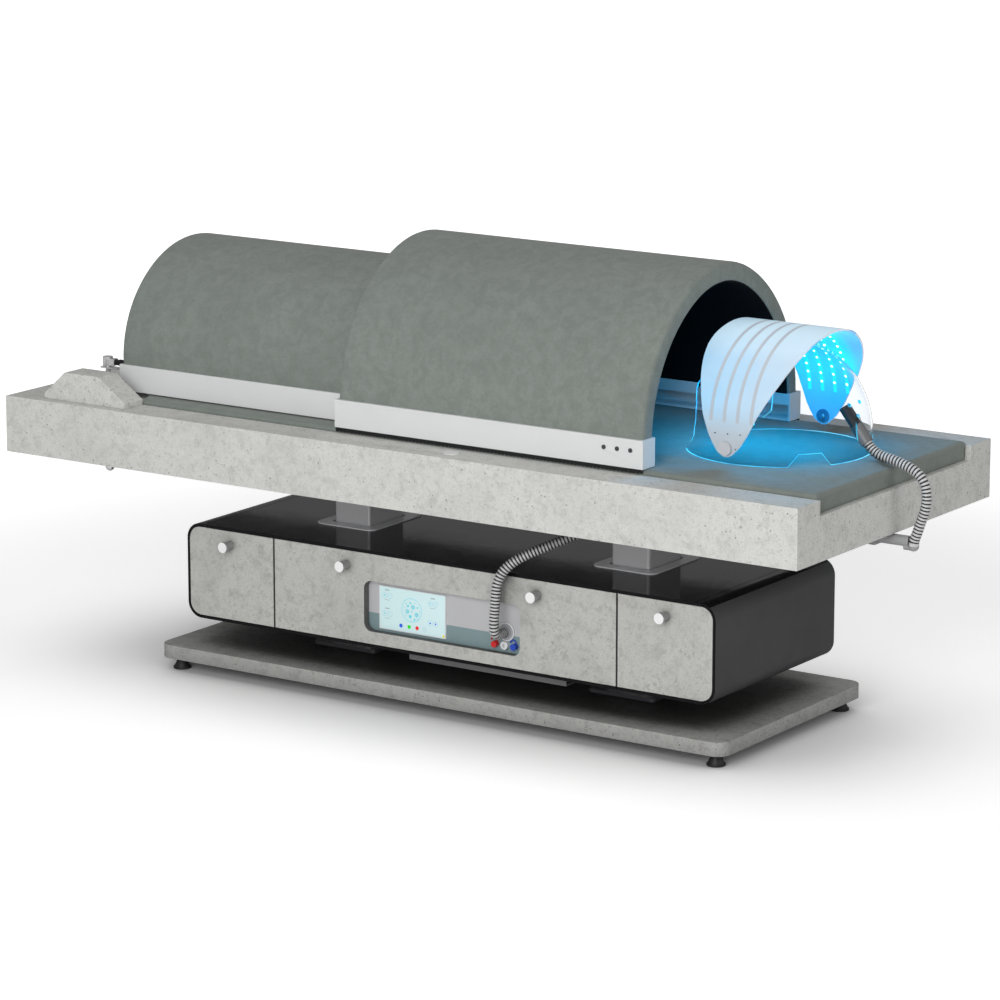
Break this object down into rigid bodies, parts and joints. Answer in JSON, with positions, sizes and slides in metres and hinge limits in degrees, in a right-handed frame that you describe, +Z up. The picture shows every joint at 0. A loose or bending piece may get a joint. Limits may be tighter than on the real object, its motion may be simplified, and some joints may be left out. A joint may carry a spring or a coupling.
{
  "type": "spa bed",
  "caption": "Height-adjustable spa bed with telescoping upholstered domes, a clear head hood with a light visor, ribbed hoses and a cabinet with drawers and a touch screen.",
  "frame": {"origin": "on the floor, under the middle of the bed's length and width", "axes": "+X along the bed towards the head end, -Y towards the side with the drawers, +Z up"},
  "size_m": [2.2331, 0.86, 1.0545],
  "materials": {
    "concrete_laminate": "matt concrete-effect laminate on board, with small dark pores",
    "upholstery": "matt grey-green microfibre over foam",
    "liner": "black lining",
    "skirt_white": "white satin powder coat",
    "strip_black": "black ribbed strip",
    "button_dark": "dark satin",
    "shell_black": "gloss",
    "cap_black": "satin",
    "frame_grey": "satin",
    "panel_grey": "matte",
    "column": "satin",
    "collar_grey": "satin",
    "actuator": "satin",
    "drawer_grey": "satin",
    "knob_white": "satin",
    "console_lilac": "satin",
    "screen": "lit touch screen with made-up controls",
    "socket_grey": "satin",
    "cap_colours": "one red and one blue cap",
    "foot_black": "matte",
    "chrome": "polished",
    "black_metal": "satin",
    "button_white": "satin",
    "pipe_grey": "satin",
    "hose_grey": "satin ribbed hose",
    "clear": "clear acrylic",
    "pivot_blue": "satin",
    "nozzle_grey": "satin",
    "nozzle_dark": "satin",
    "visor": "white translucent",
    "led": "row of cyan lights",
    "clamp_white": "satin"
  },
  "bodies": {
    "base": {"base_plate": "concrete_laminate", "cabinet_top": "shell_black", "cabinet_bottom": "shell_black", "cabinet_cap_foot": "cap_black", "cabinet_cap_head": "cap_black", "cabinet_back": "concrete_laminate", "cabinet_frame": "drawer_grey", "service_front": "concrete_laminate", "console": "console_lilac", "touch_screen": "screen", "console_sockets": "socket_grey", "jack_caps": "cap_colours", "outer_columns": "column", "actuator_tubes": "actuator", "column_collars": "collar_grey", "cable_tray": "collar_grey", "supply_hose": "hose_grey"},
    "foot_1": {"foot_near_foot": "foot_black"},
    "foot_2": {"foot_near_head": "foot_black"},
    "foot_3": {"foot_far_foot": "foot_black"},
    "foot_4": {"foot_far_head": "foot_black"},
    "drawer_foot": {"drawer_foot_front": "concrete_laminate", "drawer_foot_box": "drawer_grey", "drawer_foot_knob": "knob_white"},
    "drawer_head": {"drawer_head_front": "concrete_laminate", "drawer_head_box": "drawer_grey", "drawer_head_knob": "knob_white"},
    "latch_knob_foot": {"service_knob_foot": "knob_white"},
    "latch_knob_head": {"service_knob_head": "knob_white"},
    "mids": {"mid_columns": "column"},
    "table": {"inner_columns": "column", "table_frame": "frame_grey", "table_top": "concrete_laminate", "table_underside": "panel_grey", "pad": "upholstery", "stop_block": "concrete_laminate", "latch_post": "chrome", "hose_bracket": "pipe_grey", "head_hose": "hose_grey", "hood": "clear", "hood_pivots": "pivot_blue", "nozzle_cuff": "nozzle_grey"},
    "call": {"call_button": "button_white"},
    "stop_screw": {"latch_screw": "black_metal"},
    "nozzle": {"nozzle_tip": "nozzle_dark"},
    "visor": {"visor_shell": "visor", "visor_leds": "led"},
    "clamp_near": {"visor_knob_near": "clamp_white"},
    "clamp_far": {"visor_knob_far": "clamp_white"},
    "large_dome": {"large_cover": "upholstery", "large_liner": "liner", "large_skirts": "skirt_white", "large_glides": "strip_black"},
    "push_1": {"button_one": "button_dark"},
    "push_2": {"button_two": "button_dark"},
    "push_3": {"button_three": "button_dark"},
    "small_dome": {"small_cover": "upholstery", "small_liner": "liner", "small_skirts": "skirt_white", "small_glides": "strip_black"}
  },
  "joints": [
    {"name": "table_lift", "type": "slide", "parent": "base", "child": "table", "axis": [0, 0, 1], "range_m": [0, 0.3], "deforming": ["supply_hose"]},
    {"name": "mid_lift", "type": "slide", "parent": "base", "child": "mids", "axis": [0, 0, 1], "range_m": [0, 0.15]},
    {"name": "foot_turn_1", "type": "hinge", "parent": "base", "child": "foot_1", "pos_m": [-0.711, -0.272, 0], "axis": [0, 0, 1], "continuous": true},
    {"name": "foot_turn_2", "type": "hinge", "parent": "base", "child": "foot_2", "pos_m": [0.762, -0.272, 0], "axis": [0, 0, 1], "continuous": true},
    {"name": "foot_turn_3", "type": "hinge", "parent": "base", "child": "foot_3", "pos_m": [-0.711, 0.272, 0], "axis": [0, 0, 1], "continuous": true},
    {"name": "foot_turn_4", "type": "hinge", "parent": "base", "child": "foot_4", "pos_m": [0.762, 0.272, 0], "axis": [0, 0, 1], "continuous": true},
    {"name": "drawer_foot_slide", "type": "slide", "parent": "base", "child": "drawer_foot", "axis": [0, -1, 0], "range_m": [0, 0.35]},
    {"name": "drawer_head_slide", "type": "slide", "parent": "base", "child": "drawer_head", "axis": [0, -1, 0], "range_m": [0, 0.35]},
    {"name": "latch_knob_foot_turn", "type": "hinge", "parent": "base", "child": "latch_knob_foot", "pos_m": [-0.2365, -0.26, 0.3125], "axis": [0, 1, 0], "range_deg": [0, 90]},
    {"name": "latch_knob_head_turn", "type": "hinge", "parent": "base", "child": "latch_knob_head", "pos_m": [0.2875, -0.26, 0.3125], "axis": [0, 1, 0], "range_deg": [0, 90]},
    {"name": "call_press", "type": "slide", "parent": "table", "child": "call", "axis": [0, 0, -1], "range_m": [0, 0.002], "stiffness_N_per_m": 600, "springref_m": -0.001},
    {"name": "stop_screw_turn", "type": "hinge", "parent": "table", "child": "stop_screw", "pos_m": [-0.927, -0.262, 0.712], "axis": [1, 0, 0], "continuous": true},
    {"name": "nozzle_turn", "type": "hinge", "parent": "table", "child": "nozzle", "pos_m": [0.95506, 0, 0.7133], "axis": [0.6211, 0, -0.7837], "continuous": true},
    {"name": "visor_tilt", "type": "hinge", "parent": "table", "child": "visor", "pos_m": [0.7424, 0, 0.6923], "axis": [0, 1, 0], "range_deg": [-25, 35]},
    {"name": "clamp_near_turn", "type": "hinge", "parent": "table", "child": "clamp_near", "pos_m": [0.7424, -0.217, 0.6923], "axis": [0, 1, 0], "continuous": true},
    {"name": "clamp_far_turn", "type": "hinge", "parent": "table", "child": "clamp_far", "pos_m": [0.7424, 0.217, 0.6923], "axis": [0, 1, 0], "continuous": true},
    {"name": "large_dome_slide", "type": "slide", "parent": "table", "child": "large_dome", "axis": [-1, 0, 0], "range_m": [0, 0.55]},
    {"name": "small_dome_slide", "type": "slide", "parent": "table", "child": "small_dome", "axis": [1, 0, 0], "range_m": [0, 0.3]},
    {"name": "push_1_press", "type": "slide", "parent": "large_dome", "child": "push_1", "axis": [0, 1, 0], "range_m": [0, 0.0012], "stiffness_N_per_m": 400, "springref_m": -0.001},
    {"name": "push_2_press", "type": "slide", "parent": "large_dome", "child": "push_2", "axis": [0, 1, 0], "range_m": [0, 0.0012], "stiffness_N_per_m": 400, "springref_m": -0.001},
    {"name": "push_3_press", "type": "slide", "parent": "large_dome", "child": "push_3", "axis": [0, 1, 0], "range_m": [0, 0.0012], "stiffness_N_per_m": 400, "springref_m": -0.001}
  ],
  "couplings": [
    {"joint": "mid_lift", "follows": "table_lift", "ratio": 0.5}
  ]
}
